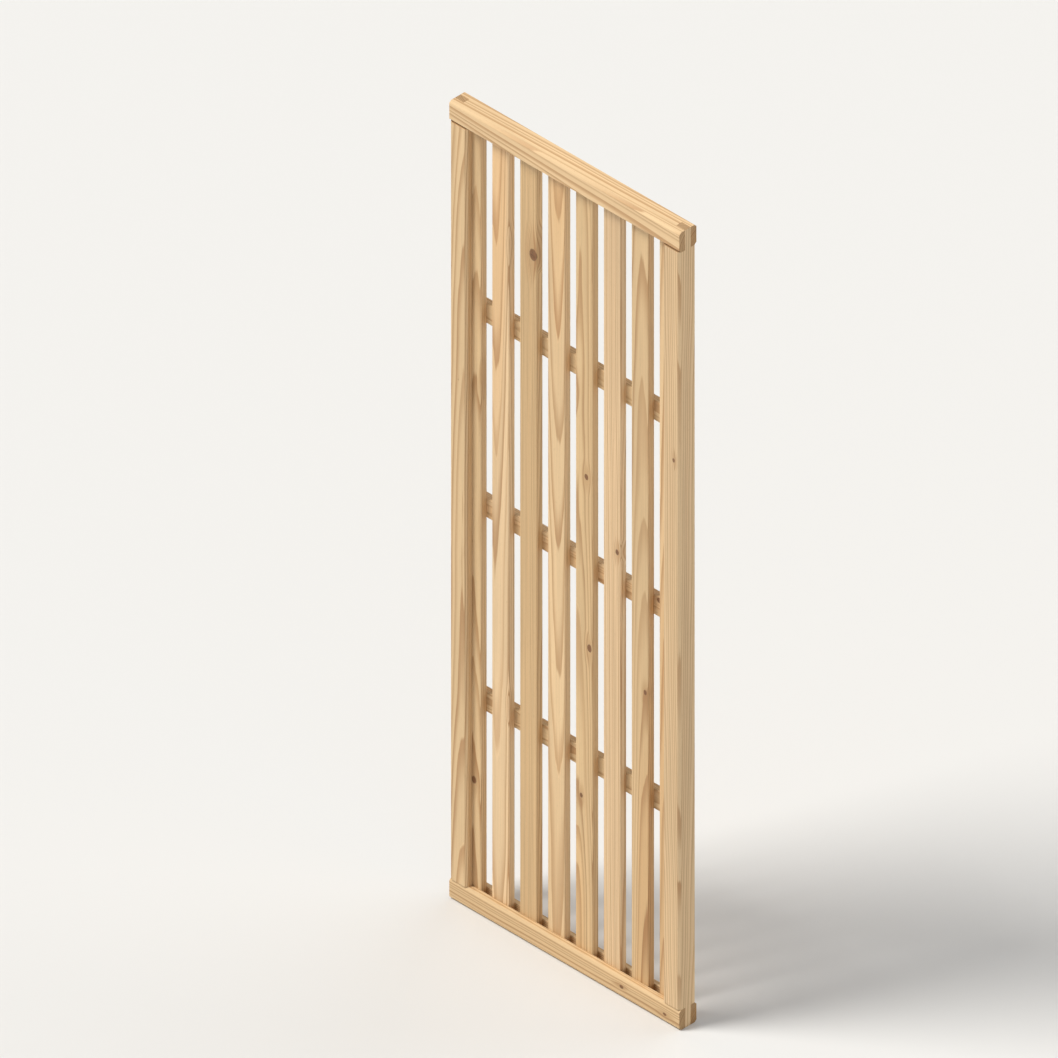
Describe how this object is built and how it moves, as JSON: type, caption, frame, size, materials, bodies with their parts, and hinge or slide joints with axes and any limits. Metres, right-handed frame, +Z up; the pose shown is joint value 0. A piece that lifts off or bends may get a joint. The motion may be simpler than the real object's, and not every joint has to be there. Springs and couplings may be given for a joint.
{
  "type": "vertical slatted fence panel",
  "caption": "Tall timber fence panel: grooved frame with through-tenoned corners holding evenly spaced upright slats, with cross battens stapled behind them.",
  "frame": {"origin": "middle of the bottom edge, at half the depth", "axes": "+Z up along the slats, +X across the width, +Y from the front face to the back, where the battens are"},
  "size_m": [0.6, 0.045, 1.8],
  "materials": {
    "frame_timber": "planed softwood",
    "slat_timber": "planed softwood",
    "batten_timber": "planed softwood",
    "staple_steel": "galvanised"
  },
  "bodies": {
    "root": {"stile_left": "frame_timber", "stile_right": "frame_timber", "rail_bottom": "frame_timber", "rail_top": "frame_timber", "slat_1": "slat_timber", "slat_2": "slat_timber", "slat_3": "slat_timber", "slat_4": "slat_timber", "slat_5": "slat_timber", "slat_6": "slat_timber", "slat_7": "slat_timber", "slat_8": "slat_timber", "batten_1": "batten_timber", "batten_2": "batten_timber", "batten_3": "batten_timber", "batten_staples": "staple_steel", "corner_staples": "staple_steel"}
  },
  "joints": []
}
